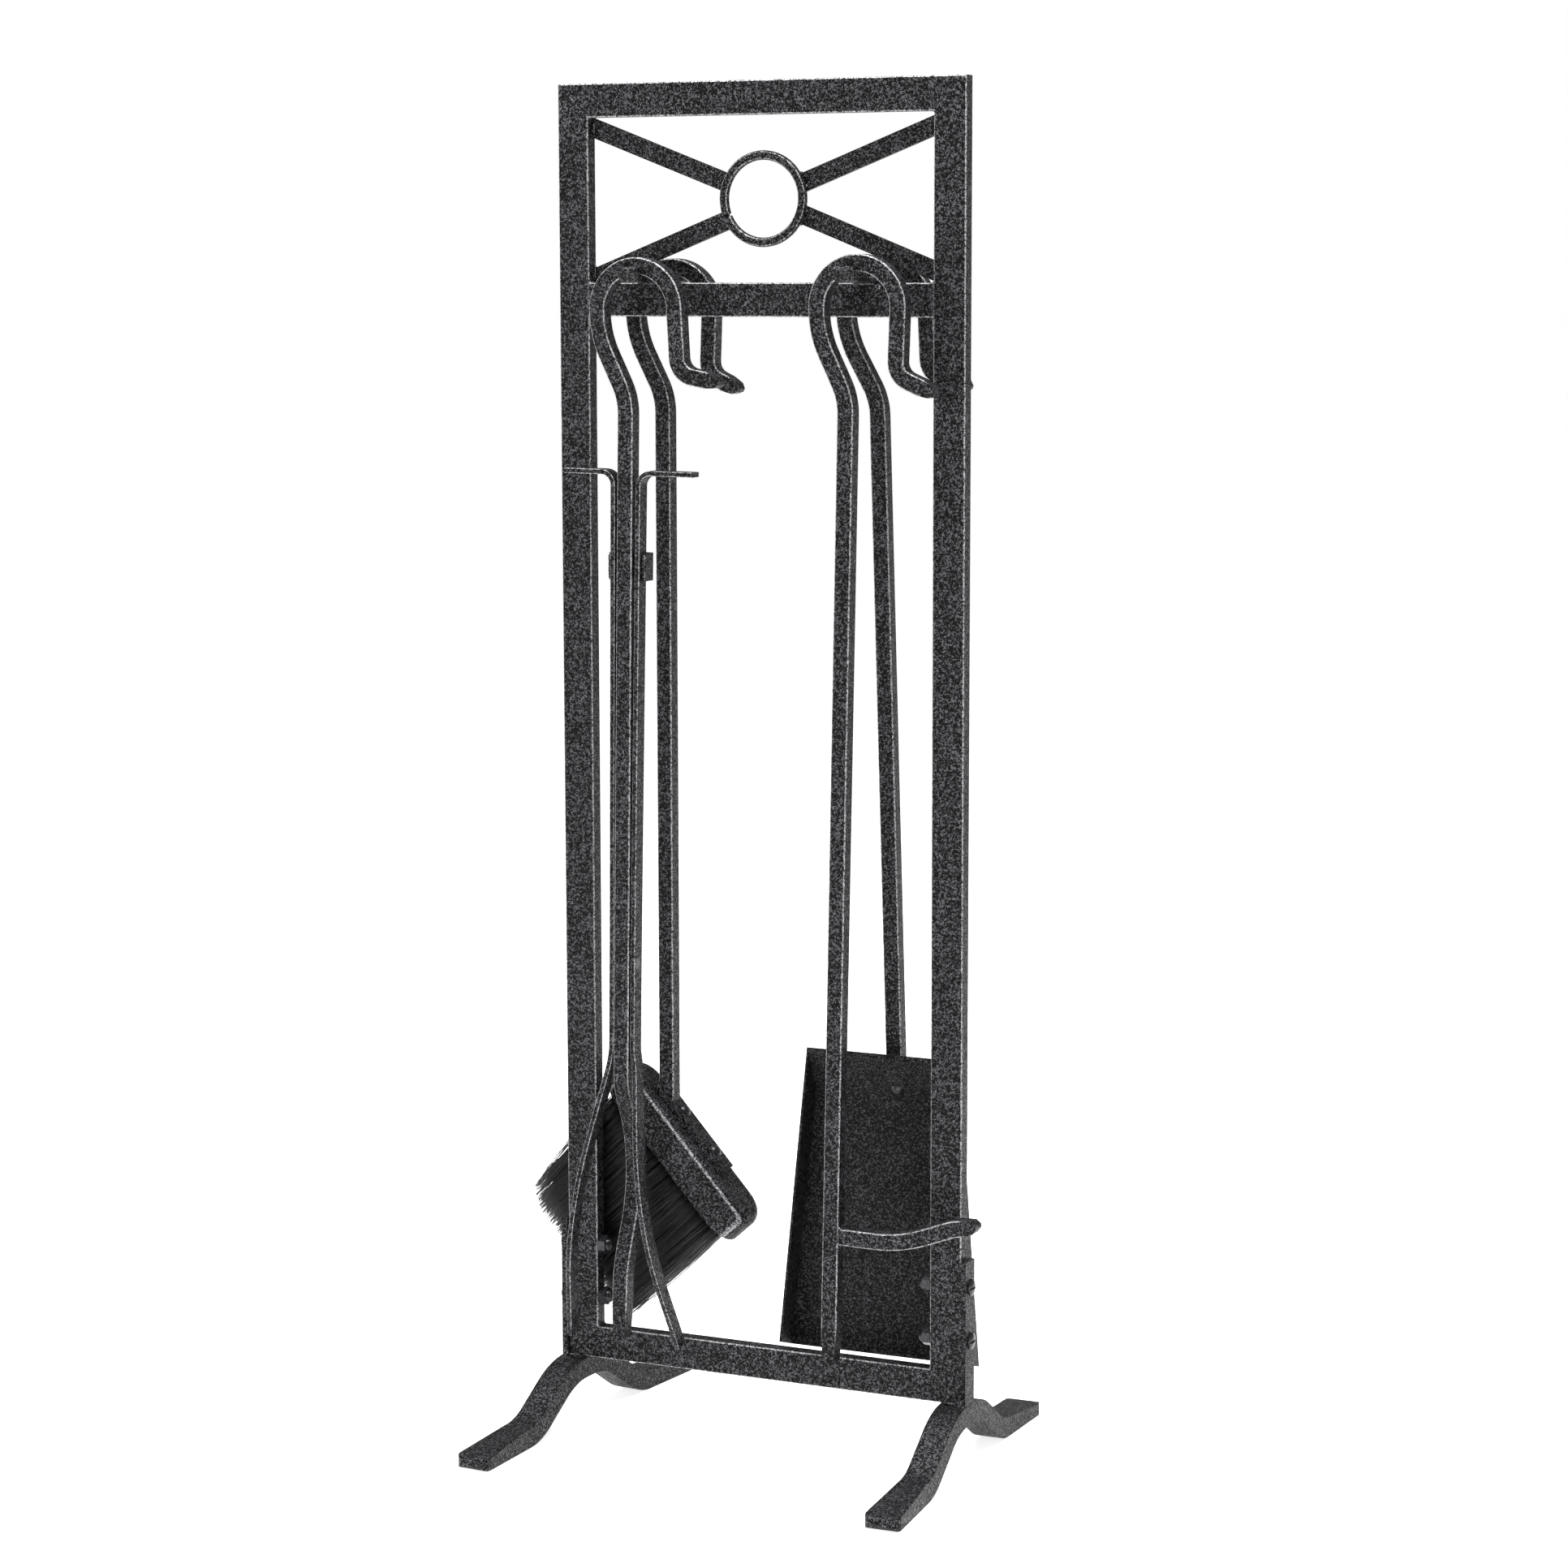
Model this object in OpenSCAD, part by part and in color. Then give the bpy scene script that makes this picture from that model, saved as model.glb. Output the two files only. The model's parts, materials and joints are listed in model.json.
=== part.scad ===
// Fireplace tool set: a steel stand with a poker, a shovel, a brush and tongs hung on it.
// X runs along the width of the stand, Y from its front to its back, and Z up from the floor.
// The origin lies on the floor, under the middle of the whole set.

/* [Frame] */
// Distance from the origin to the middle of the frame
frame_x = 7.2; // [0:0.1:10]
// Width of the frame over its stiles
frame_w = 264; // [250:1:290]
// Height of the frame, without its feet
frame_h = 785; // [780:1:860]
// Width of the tube's face
tube_w = 20; // [18:0.5:22]
// Depth of the tube, front to back
tube_d = 10; // [9:0.5:11]
// Wall thickness of the tube
tube_wall = 1.5; // [1:0.1:2]
// Top of the middle rail above the frame's lower edge
mid_rail_z = 667; // [650:1:680]

/* [Emblem] */
// Outer diameter of the centre ring
ring_d = 56.4; // [50:0.2:62]
// Diameter of the ring's rod
ring_rod = 5.6; // [5:0.1:6]
// Sideways place of the ring
ring_x = 2; // [-4:0.5:4]
// Width of the diagonal bars
diagonal_w = 11; // [8:0.5:12]
// Thickness of the diagonal bars
diagonal_t = 3; // [2:0.5:3.5]

/* [Hangers] */
// Distance from the middle of the stand to each hanger
hanger_x = 70; // [68:0.5:71]
// Width of a hanger bar
hanger_w = 13; // [12:0.5:14]
// Thickness of a hanger bar
hanger_t = 3; // [2.5:0.1:3.5]
// Length of each upturned lip
lip_l = 9; // [9:0.5:14]
// Angle at which the lips rise
lip_angle = 43; // [38:1:44]

/* [Feet] */
// Height of the frame's lower edge above the floor
foot_rise = 41; // [40:0.5:50]
// Length of a foot, front to back
foot_l = 250; // [235:5:280]
// Width of the foot bar
foot_w = 17; // [14:0.5:18]
// Width of a foot's toe at its tip
toe_w = 22; // [20:0.5:24]
// Thickness of the foot bar
foot_t = 13; // [11:0.5:13]
// Outward turn of the left foot's front toe, in degrees
foot_splay_left = 4.5; // [0:0.5:5]
// Outward turn of the right foot's front toe, in degrees
foot_splay_right = 1.5; // [0:0.5:5]
// Thickness of a foot's toe at its tip
toe_t = 8; // [6:0.5:9]
// Steepest slope of a foot
foot_slope = 33; // [28:1:36]
// Thickness of the upright plate on a foot
plate_t = 4; // [3:0.5:5]
// Width of the upright plate
plate_w = 14; // [12:0.5:15]
// Height of the upright plate above the frame's lower edge
plate_h = 88; // [85:1:100]

/* [Bolts] */
// Diameter of a foot bolt
bolt_d = 6; // [5:0.5:6]
// Height of the lower bolt above the frame's lower edge
bolt_low_z = 39; // [36:1:42]
// Height of the upper bolt above the frame's lower edge
bolt_high_z = 72; // [68:1:76]
// Diameter of a bolt's head
bolt_head_d = 10; // [9:0.5:11]
// Height of a bolt's head
bolt_head_h = 2.8; // [2:0.2:3.4]
// Nut size across its flats
nut_af = 10; // [9.5:0.5:11]

/* [Tools] */
// Side of the square tool bar
bar_w = 10; // [9:0.5:10]
// Distance from the middle of the stand to the middle of a tool, front or back
tool_y = 25.5; // [25:0.5:27]
// Outer width of the crook at the top of a tool
crook_w = 61; // [60:0.5:63]
// Distance from the crook's middle to the shaft
shaft_offset = 6; // [5:0.5:8]
// Lean of the poker in degrees, with its foot towards the middle
poker_lean = 1.1; // [0:0.1:1.5]
// Lean of the shovel in degrees, with its foot away from the middle
shovel_lean = 1.65; // [0:0.05:1.9]
// Turn of the shovel about the upright in degrees, with its left side to the front
shovel_yaw = 3; // [0:0.5:3]
// Lean of the tongs in degrees, with their foot away from the middle
tongs_lean = 0.9; // [0:0.1:1]
// Sideways shift of the tongs on their hanger
tongs_shift = 1.5; // [0:0.5:2]
// Sideways shift of the poker on its hanger
poker_shift = 4.5; // [0:0.5:5]

/* [Poker] */
// Length of the poker below its crook's centre
poker_l = 632; // [600:1:640]
// Height of the side hook above the poker's tip
poker_hook_z = 81; // [70:1:110]

/* [Shovel] */
// Width of the pan at its front edge
pan_w = 123; // [118:1:130]
// Width of the pan at its back wall
pan_back_w = 95; // [90:1:104]
// Length of the pan's floor
pan_l = 163; // [150:1:165]
// Depth of the pan
pan_d = 20; // [16:0.5:20]
// Thickness of the pan's sheet
pan_t = 1.5; // [1.2:0.1:2]
// Height of the pan's sloping back wall
pan_back_h = 28; // [25:1:32]
// Turn of the pan against the shaft in degrees, with its front edge towards the middle
pan_turn = 2.4; // [0:0.2:3]

/* [Brush] */
// Slope of the brush head below the horizontal
head_slope = 48.3; // [44:0.1:52]
// Length of the brush cap
cap_l = 126; // [115:1:128]
// Width of the brush cap
cap_w = 34; // [30:1:34]
// Height of the brush cap
cap_h = 22; // [20:1:24]
// Rounding of the cap's top edge
cap_r = 7; // [4:0.5:8]
// Thickness of the cap's sheet
cap_t = 1.5; // [1.2:0.1:1.8]
// Length of the bristles below the cap
bristle_l = 90; // [80:1:92]
// Width of the strap that joins the shaft to the cap
strap_w = 13; // [10:0.5:14]
// Thickness of the strap
strap_t = 5; // [4:0.5:6]

/* [Tongs] */
// Height of the tongs' pivot above the frame's lower edge
pivot_z = 257; // [250:1:270]
// Diameter of the pivot pin
pin_d = 5; // [4:0.5:5]
// Thickness of a fork arm
arm_t = 3; // [2.5:0.25:3.5]
// Distance that the fork sits behind the middle of the shaft
arm_back = 1; // [0:0.25:1]
// Gap between the shaft and a fork arm at the pivot
arm_gap = 0.7; // [0.3:0.1:1]
// Splay of the fork arms above the pivot, in degrees
arm_splay = 0.25; // [0.2:0.05:0.4]
// Reach of the left finger tab from the middle of the shaft
tab_left = 41; // [30:0.5:41.5]
// Reach of the right finger tab from the middle of the shaft
tab_right = 44; // [30:0.5:45]
// Outward slope of the side prongs, in degrees
prong_splay = 9.3; // [8:0.1:10]

/* [Hidden] */
$fn = 64;

STEEL = "#26282b";
BRIGHT = "#3a3c40";
WOOD = "#4a3220";
BRISTLE = "#0c0c0d";

// Directions in which a bar bends, seen along the bar
RIGHT = 0;
BACK = 90;
LEFT = 180;
FRONT = 270;

// Small gap between pieces that only touch, and clearance of a hole around its pin
touch = 0.02;
hole_gap = 0.05;
// Overrun of a cutting shape past the piece it cuts
over = 1;
// A straight length of bar runs this far into the bend beside it, and the bend is this much slimmer
lap = 0.05;
slim = 0.01;

frame_z = foot_rise;
half_w = frame_w / 2;
inner_x = half_w - tube_w;
rail_z = frame_z + mid_rail_z;
window_h = frame_h - tube_w - mid_rail_z;
tube_edge = 0.7;
bar_edge = 0.7;
strip_edge = 0.4;

// Centre of the ring
ring_z = rail_z + window_h / 2;
ring_r = (ring_d - ring_rod) / 2;
// Slopes of the diagonals, and how far the lower left one sits below the ring's middle
slope_upper_left = 20.7;
slope_upper_right = 20.9;
slope_lower_left = 20.9;
slope_lower_right = 21.4;
drop_lower_left = 2.7;
ring_gap = 4;

// A foot runs from its middle over an arch, down a slope and out along a flat toe
foot_gap = 0.3;
foot_top_l = 4;
foot_arch_r = 50;
foot_heel_r = 40;
foot_x = half_w + plate_t - foot_w / 2;
foot_drop = foot_rise - foot_gap - foot_t;
foot_run = (foot_drop - (foot_arch_r + foot_heel_r) * (1 - cos(foot_slope))) / sin(foot_slope);
toe_start = foot_top_l + (foot_arch_r + foot_heel_r) * sin(foot_slope) + foot_run * cos(foot_slope);
toe_l = foot_l / 2 - toe_start;
toe_corner_r = 6;

// The crook: an S-bend, an arch over the hanger, a leg and an outward tip
arch_r = (crook_w - bar_w) / 2;
arch_in = arch_r - bar_w / 2;
s_angle = 27;
s_low_r = 40;
s_high_r = 60;
s_run = (arch_r - shaft_offset - (s_low_r + s_high_r) * (1 - cos(s_angle))) / sin(s_angle);
s_h = (s_low_r + s_high_r) * sin(s_angle) + s_run * cos(s_angle);
leg_l = 30;
tip_bend_r = 12;
tip_l = 9;
tip_end = 7;
brush_tip_cut = 3.5;
// The crook and the prongs start with a short straight length, which meets the shaft's end face
start_l = 2;
shaft_top = -s_h - start_l - lap;

// Height of a crook's centre when its arch rests on the hanger's top edges
seat_gap = 0.3;
function arch_z(shift) = rail_z + hanger_t + seat_gap - sqrt(pow(arch_in, 2) - pow(hanger_w / 2 + shift, 2));
seat_z = arch_z(0);
poker_z = arch_z(poker_shift);
tongs_z = arch_z(tongs_shift);
shovel_z = seat_z + 0.25;

// The poker's blunt point, and the moves of its side hook
point_l = 24;
point_end = 7;
hook_moves = [line(22), bend(90, 22, LEFT), line(16.5), bend(25, 12, RIGHT), taper(0, 12, 7.5)];

// The brush head's own frame has its origin at the middle of the cap's top
head_x = 12.9;
head_z = frame_z + 139.3 - seat_z;
rivet_at = [-18, 13.5];

// The shovel's pan, in the shovel's own frame
pan_low_z = frame_z + 14 - shovel_z;
pan_crease_z = pan_low_z + pan_l;
pan_back_y = 2.5;
pan_front_y = pan_back_y - pan_d;
pan_shift = -7.5;
pan_lip_rise = 7;
pan_tilt = atan(pan_d / pan_back_h);
rivet_d = 5;

// The tongs' fork, in the tongs' own frame
pin_z = frame_z + pivot_z - tongs_z;
fork_x = bar_w / 2 + arm_gap + arm_t / 2;
tab_z = frame_z + 555.5 - tongs_z;
tab_bend_r = 8;
bridge_z = frame_z + 490 - tongs_z;
bridge_h = 16.5;
bridge_t = 2.5;
bridge_back = 6.2;
arm_d = 10;
arm_below = 50;
middle_prong_z = frame_z + 190 - tongs_z;

function line(length) = ["line", length];
function bend(radius, angle, toward) = ["bend", radius, angle, toward];
function taper(straight, length, end) = ["taper", straight, length, end];

// Cross-section of a bar with small chamfers on its long edges
module bar_section(w, d, edge = bar_edge) {
    x = w / 2;
    y = d / 2;
    polygon([
        [-x, edge - y], [edge - x, -y], [x - edge, -y], [x, edge - y],
        [x, y - edge], [x - edge, y], [edge - x, y], [-x, y - edge]
    ]);
}

// A straight length of bar along Z that laps over its neighbours at both ends
module straight_bar(length, w, d, edge = bar_edge) {
    translate([0, 0, -lap])
        linear_extrude(length + 2 * lap)
            bar_section(w, d, edge);
}

// A straight length of bar that then narrows to a blunt square end
module tapered_bar(w, d, straight, length, end, edge) {
    nose = end * 0.35;
    full_l = straight + length;
    shoulder = w / 2 + over * (w - end) / length / 2;
    intersection() {
        rotate([90, 0, 0])
            linear_extrude(2 * d, center = true)
                polygon([
                    [-w, -2 * lap], [w, -2 * lap], [w, 0], [shoulder, straight - over],
                    [end / 2, full_l - nose], [end / 2 - nose, full_l],
                    [nose - end / 2, full_l], [-end / 2, full_l - nose],
                    [-shoulder, straight - over], [-w, 0]
                ]);
        straight_bar(full_l, w, d, edge);
    }
}

// A bar that starts at the origin, heads up and follows a list of moves; no two bends are neighbours
module bent_bar(moves, w, d, edge = bar_edge, i = 0) {
    if (i < len(moves)) {
        move = moves[i];
        if (move[0] == "line") {
            straight_bar(move[1], w, d, edge);
            translate([0, 0, move[1]])
                bent_bar(moves, w, d, edge, i + 1);
        }
        if (move[0] == "bend") {
            radius = move[1];
            angle = move[2];
            toward = move[3];
            rotate([0, 0, toward])
                translate([radius, 0, 0]) {
                    rotate([90, 0, 0])
                        rotate([0, 0, 180 - angle])
                            rotate_extrude(angle = angle)
                                translate([radius, 0])
                                    rotate(-toward)
                                        bar_section(w - slim, d - slim, edge);
                    rotate([0, angle, 0])
                        translate([-radius, 0, 0])
                            rotate([0, 0, -toward])
                                bent_bar(moves, w, d, edge, i + 1);
                }
        }
        if (move[0] == "taper")
            tapered_bar(w, d, move[1], move[2], move[3], edge);
    }
}

// Carries a piece from the frame's own middle to its place over the origin
module in_place() {
    translate([frame_x, 0, 0])
        children();
}

module mirror_copy(axis) {
    children();
    mirror(axis)
        children();
}

// ---------------------------------------------------------------- frame

// A hollow tube along Z with both ends mitred, its outer edge on the plane x = 0
module mitred_tube(length) {
    difference() {
        translate([tube_w / 2, 0, 0])
            linear_extrude(length)
                difference() {
                    bar_section(tube_w, tube_d, tube_edge);
                    square([tube_w - 2 * tube_wall, tube_d - 2 * tube_wall], center = true);
                }
        for (end = [0, 1])
            translate([0, 0, end * length])
                mirror([0, 0, end])
                    rotate([90, 0, 0])
                        linear_extrude(tube_d + 2 * over, center = true)
                            polygon([[-over, -over], [tube_w + over, -over], [tube_w + over, tube_w + over]]);
    }
}

// A left stile, drilled for the two foot bolts
module stile() {
    difference() {
        translate([-half_w, 0, frame_z])
            mitred_tube(frame_h);
        for (z = [bolt_low_z, bolt_high_z])
            translate([-half_w - over, 0, frame_z + z])
                rotate([0, 90, 0])
                    cylinder(d = bolt_d + 2 * hole_gap, h = tube_w + 2 * over);
    }
}

module stile_left() {
    color(STEEL) in_place()
        stile();
}

module stile_right() {
    color(STEEL) in_place()
        mirror([1, 0, 0])
            stile();
}

module top_rail() {
    color(STEEL) in_place()
        translate([-half_w, 0, frame_z + frame_h])
            rotate([0, 90, 0])
                mitred_tube(frame_w);
}

module bottom_rail() {
    color(STEEL) in_place()
        translate([-half_w, 0, frame_z])
            mirror([0, 0, 1])
                rotate([0, 90, 0])
                    mitred_tube(frame_w);
}

module mid_rail() {
    color(STEEL) in_place()
        translate([-inner_x, 0, rail_z - tube_w / 2])
            rotate([0, 90, 0])
                linear_extrude(2 * inner_x)
                    difference() {
                        bar_section(tube_w, tube_d, tube_edge);
                        square([tube_w - 2 * tube_wall, tube_d - 2 * tube_wall], center = true);
                    }
}

// A flat bar from the ring to a corner of the window above the middle rail
module diagonal(side, up, slope, drop = 0) {
    color(STEEL) in_place()
        intersection() {
            translate([ring_x, 0, ring_z - drop])
                mirror([side < 0 ? 1 : 0, 0, 0])
                    mirror([0, 0, up < 0 ? 1 : 0])
                        rotate([0, -slope, 0])
                            translate([ring_r, tube_d / 2 - diagonal_t, -diagonal_w / 2])
                                cube([inner_x + tube_w, diagonal_t, diagonal_w]);
            translate([-inner_x, 0, rail_z])
                cube([2 * inner_x, tube_d, window_h]);
        }
}

module diagonal_upper_left() {
    diagonal(-1, 1, slope_upper_left);
}

module diagonal_upper_right() {
    diagonal(1, 1, slope_upper_right);
}

module diagonal_lower_left() {
    diagonal(-1, -1, slope_lower_left, drop_lower_left);
}

module diagonal_lower_right() {
    diagonal(1, -1, slope_lower_right);
}

// A round rod bent to a ring, with a narrow gap beside the lower left diagonal
module centre_ring() {
    color(STEEL) in_place()
        translate([ring_x, tube_d / 2 - diagonal_t - ring_rod / 2 - touch, ring_z])
            rotate([90, 0, 0])
                rotate([0, 0, 180 + slope_lower_left + ring_gap])
                    rotate_extrude(angle = 360 - ring_gap)
                        translate([ring_r, 0])
                            circle(d = ring_rod);
}

// A flat bar across the middle rail, with a lip turned up at each end
module hanger(side) {
    lip_bend_r = 3;
    flat = tool_y + bar_w / 2 + 0.5;
    color(STEEL) in_place()
        translate([side * hanger_x, 0, rail_z + hanger_t / 2]) {
            rotate([90, 0, 0])
                linear_extrude(2 * flat + 2 * lap, center = true)
                    bar_section(hanger_w, hanger_t, strip_edge);
            mirror_copy([0, 1, 0])
                translate([0, flat, 0])
                    rotate([-90, 0, 0])
                        bent_bar(
                            [bend(lip_bend_r, lip_angle, FRONT), line(lip_l)],
                            hanger_w, hanger_t, strip_edge
                        );
        }
}

module hanger_left() {
    hanger(-1);
}

module hanger_right() {
    hanger(1);
}

// ---------------------------------------------------------------- feet

// A toe along +Y that lies flat, gets thinner and wider and is round at its end
module toe() {
    nose_r = toe_t / 2;
    intersection() {
        rotate([90, 0, 90])
            linear_extrude(2 * toe_w, center = true)
                union() {
                    polygon([[-lap, 0], [toe_l - nose_r, 0], [toe_l - nose_r, toe_t], [-lap, foot_t]]);
                    translate([toe_l - nose_r, nose_r])
                        circle(r = nose_r);
                }
        linear_extrude(foot_t)
            union() {
                polygon([
                    [-foot_w / 2, -over], [foot_w / 2, -over], [foot_w / 2, 0],
                    [toe_w / 2, toe_l - toe_corner_r], [-toe_w / 2, toe_l - toe_corner_r], [-foot_w / 2, 0]
                ]);
                translate([toe_corner_r - toe_w / 2, toe_corner_r])
                    square([toe_w - 2 * toe_corner_r, toe_l - toe_corner_r]);
                for (side = [-1, 1])
                    translate([side * (toe_w / 2 - toe_corner_r), toe_l - toe_corner_r])
                        circle(r = toe_corner_r);
            }
    }
}

module foot(side, splay) {
    color(STEEL) in_place()
        translate([side * foot_x, 0, 0])
            rotate([0, 0, side * splay]) {
                translate([0, 0, frame_z - foot_gap - foot_t / 2])
                    cube([foot_w, 2 * foot_top_l + 2 * lap, foot_t], center = true);
                mirror_copy([0, 1, 0]) {
                    translate([0, foot_top_l, frame_z - foot_gap - foot_t / 2])
                        rotate([-90, 0, 0])
                            bent_bar(
                                [
                                    bend(foot_arch_r, foot_slope, BACK),
                                    line(foot_run),
                                    bend(foot_heel_r, foot_slope, FRONT)
                                ],
                                foot_w, foot_t, 0
                            );
                    translate([0, toe_start, 0])
                        toe();
                }
            }
}

module foot_left() {
    foot(-1, foot_splay_left);
}

module foot_right() {
    foot(1, foot_splay_right);
}

// The upright plate stands on the foot and lies against the outside of the stile
module foot_plate(side) {
    color(STEEL) in_place()
        mirror([side < 0 ? 1 : 0, 0, 0])
            difference() {
                translate([half_w + touch, -plate_w / 2, frame_z - foot_gap])
                    cube([plate_t - touch, plate_w, plate_h + foot_gap]);
                for (z = [bolt_low_z, bolt_high_z])
                    translate([half_w - over, 0, frame_z + z])
                        rotate([0, 90, 0])
                            cylinder(d = bolt_d + 2 * hole_gap, h = plate_t + 2 * over);
            }
}

module foot_plate_left() {
    foot_plate(-1);
}

module foot_plate_right() {
    foot_plate(1);
}

// Two pan-headed bolts from outside the plate, through the stile, into their nuts
module foot_bolts(side) {
    slot_w = 1.4;
    slot_depth = 1.3;
    shank_end = 6.5;
    color(BRIGHT) in_place()
        mirror([side < 0 ? 1 : 0, 0, 0])
            for (z = [bolt_low_z, bolt_high_z])
                translate([half_w + plate_t + touch, 0, frame_z + z])
                    difference() {
                        union() {
                            rotate([0, -90, 0])
                                cylinder(d = bolt_d, h = plate_t + tube_w + shank_end);
                            rotate([0, 90, 0])
                                rotate_extrude()
                                    intersection() {
                                        square([bolt_head_d / 2, bolt_head_h]);
                                        translate([0, bolt_head_h - bolt_head_d])
                                            circle(r = bolt_head_d);
                                    }
                        }
                        translate([bolt_head_h - slot_depth, -bolt_head_d, -slot_w / 2])
                            cube([slot_depth + over, 2 * bolt_head_d, slot_w]);
                    }
}

module foot_bolts_left() {
    foot_bolts(-1);
}

module foot_bolts_right() {
    foot_bolts(1);
}

// Two hexagon nuts with domed caps, on the inside of the stile
module foot_nuts(side) {
    nut_h = 5;
    dome_r = nut_af * 0.42;
    dome_h = 4;
    bore_depth = 7;
    color(BRIGHT) in_place()
        mirror([side < 0 ? 1 : 0, 0, 0])
            for (z = [bolt_low_z, bolt_high_z])
                translate([inner_x - touch, 0, frame_z + z])
                    rotate([0, -90, 0])
                        difference() {
                            union() {
                                cylinder(d = nut_af / cos(30), h = nut_h, $fn = 6);
                                rotate_extrude()
                                    intersection() {
                                        square([dome_r, nut_h + dome_h]);
                                        translate([0, nut_h + dome_h - dome_r])
                                            union() {
                                                circle(r = dome_r);
                                                translate([0, -nut_h - dome_h])
                                                    square([dome_r, nut_h + dome_h]);
                                            }
                                    }
                            }
                            translate([0, 0, -over])
                                cylinder(d = bolt_d + 2 * hole_gap, h = bore_depth + over);
                        }
}

module foot_nuts_left() {
    foot_nuts(-1);
}

module foot_nuts_right() {
    foot_nuts(1);
}

// ---------------------------------------------------------------- tools

// Places a tool so that its crook's centre hangs over a hanger, and leans and turns it about that centre
module hang(x, y, z, lean = 0, yaw = 0) {
    translate([x, y, z])
        rotate([0, lean, yaw])
            children();
}

module hang_poker() {
    hang(hanger_x + poker_shift, -tool_y, poker_z, poker_lean)
        children();
}

module hang_shovel() {
    hang(hanger_x, tool_y, shovel_z, -shovel_lean, shovel_yaw)
        children();
}

module hang_brush() {
    hang(-hanger_x, tool_y, seat_z)
        children();
}

module hang_tongs() {
    hang(tongs_shift - hanger_x, -tool_y, tongs_z, tongs_lean)
        children();
}

// The crooked handle, from the top of the straight shaft to the tip
module crook(leg_lean, tip_drop, tip_cut = 0) {
    translate([-shaft_offset, 0, -s_h - start_l])
        bent_bar(
            [
                line(start_l),
                bend(s_low_r, s_angle, LEFT),
                line(s_run),
                bend(s_high_r, s_angle, RIGHT),
                line(2 * lap),
                bend(arch_r, 180 - leg_lean, RIGHT),
                line(leg_l),
                bend(tip_bend_r, 90 - leg_lean - tip_drop, LEFT),
                taper(tip_l - tip_cut, tip_l, tip_end)
            ],
            bar_w, bar_w
        );
}

// The straight shaft, from below up to the crook
module shaft(low_z) {
    translate([-shaft_offset, 0, low_z])
        linear_extrude(shaft_top - low_z)
            bar_section(bar_w, bar_w);
}

// ---------------------------------------------------------------- poker

module poker_crook() {
    color(STEEL) in_place()
        hang_poker()
            crook(-1, 22);
}

module poker_shaft() {
    color(STEEL) in_place()
        hang_poker()
            translate([-shaft_offset, 0, shaft_top - lap])
                rotate([180, 0, 0])
                    tapered_bar(bar_w, bar_w, poker_l - point_l + shaft_top - lap, point_l, point_end, bar_edge);
}

// The side hook starts on the shaft's right face, rises and levels out at its end
module poker_hook() {
    color(STEEL) in_place()
        hang_poker()
            translate([bar_w / 2 + lap - shaft_offset, 0, poker_hook_z - poker_l])
                rotate([0, 90, 0])
                    bent_bar(hook_moves, bar_w, bar_w);
}

// ---------------------------------------------------------------- shovel

// Outline of the pan seen from the front, shrunk by inset at its sides
module pan_front(inset, low, high) {
    slope = (pan_w - pan_back_w) / 2 / pan_l;
    low_half = pan_w / 2 - inset + slope * (pan_low_z - low);
    high_half = pan_back_w / 2 - inset - slope * (high - pan_crease_z);
    polygon([[-low_half, low], [low_half, low], [high_half, high], [-high_half, high]]);
}

// Outline of the pan seen from its side: floor, sloping back wall and cut-back front corners
module pan_side(inset, grow) {
    lean = pan_d / pan_back_h;
    back = pan_back_y + pan_t - inset;
    crease = pan_crease_z - inset * tan(pan_tilt / 2);
    polygon([
        [back, pan_low_z - grow],
        [back, crease],
        [pan_front_y - grow, crease + (back - pan_front_y + grow) / lean],
        [pan_front_y - grow, pan_low_z + pan_lip_rise - grow]
    ]);
}

module pan_block(inset, grow) {
    intersection() {
        rotate([90, 0, 0])
            linear_extrude(4 * pan_d, center = true)
                pan_front(inset, pan_low_z - grow, pan_crease_z + 2 * pan_back_h);
        rotate([90, 0, 90])
            linear_extrude(2 * pan_w, center = true)
                pan_side(inset, grow);
    }
}

// Turns the pan about the middle of the shaft where it meets the pan's crease
module pan_place() {
    translate([-shaft_offset, 0, pan_crease_z])
        rotate([0, pan_turn, 0])
            translate([0, 0, -pan_crease_z])
                children();
}

module shovel_crook() {
    color(STEEL) in_place()
        hang_shovel()
            crook(1, 20);
}

module shovel_shaft() {
    color(STEEL) in_place()
        hang_shovel()
            difference() {
                shaft(pan_crease_z - 2);
                pan_place() {
                    rotate([90, 0, 90])
                        linear_extrude(2 * bar_w, center = true)
                            pan_side(-touch, 3 * pan_back_h);
                    pan_rivet_line(rivet_d + 2 * hole_gap);
                }
            }
}

// A cylinder square to the pan's back wall, through the middle of the shaft's end
module pan_rivet_line(d) {
    translate([0, 0, pan_crease_z + (pan_back_y + pan_t) * pan_back_h / pan_d])
        rotate([90 + pan_tilt, 0, 0])
            cylinder(d = d, h = 20, center = true);
}

// A low domed head, flat side down
module rivet_head(d, h) {
    dome_r = d * 0.7;
    rotate_extrude()
        intersection() {
            square([d / 2, h]);
            translate([0, h - dome_r])
                circle(r = dome_r);
        }
}

// Sheet-steel pan, open at the front and at its lower edge
module shovel_pan() {
    color(STEEL) in_place()
        hang_shovel()
            pan_place()
                difference() {
                    translate([pan_shift, 0, 0])
                        pan_block(0, 0);
                    translate([pan_shift, 0, 0])
                        pan_block(pan_t, 2 * pan_t);
                    pan_rivet_line(rivet_d + 2 * hole_gap);
                }
}

module shovel_rivet() {
    head_d = 9;
    head_h = 2;
    depth = 6;
    color(BRIGHT) in_place()
        hang_shovel()
            pan_place()
                translate([0, 0, pan_crease_z + (pan_back_y + pan_t) * pan_back_h / pan_d])
                    rotate([90 + pan_tilt, 0, 0]) {
                        translate([0, 0, -depth])
                            cylinder(d = rivet_d, h = depth + pan_t + touch);
                        translate([0, 0, pan_t + touch])
                            rivet_head(head_d, head_h);
                    }
}

// ---------------------------------------------------------------- brush

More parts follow.
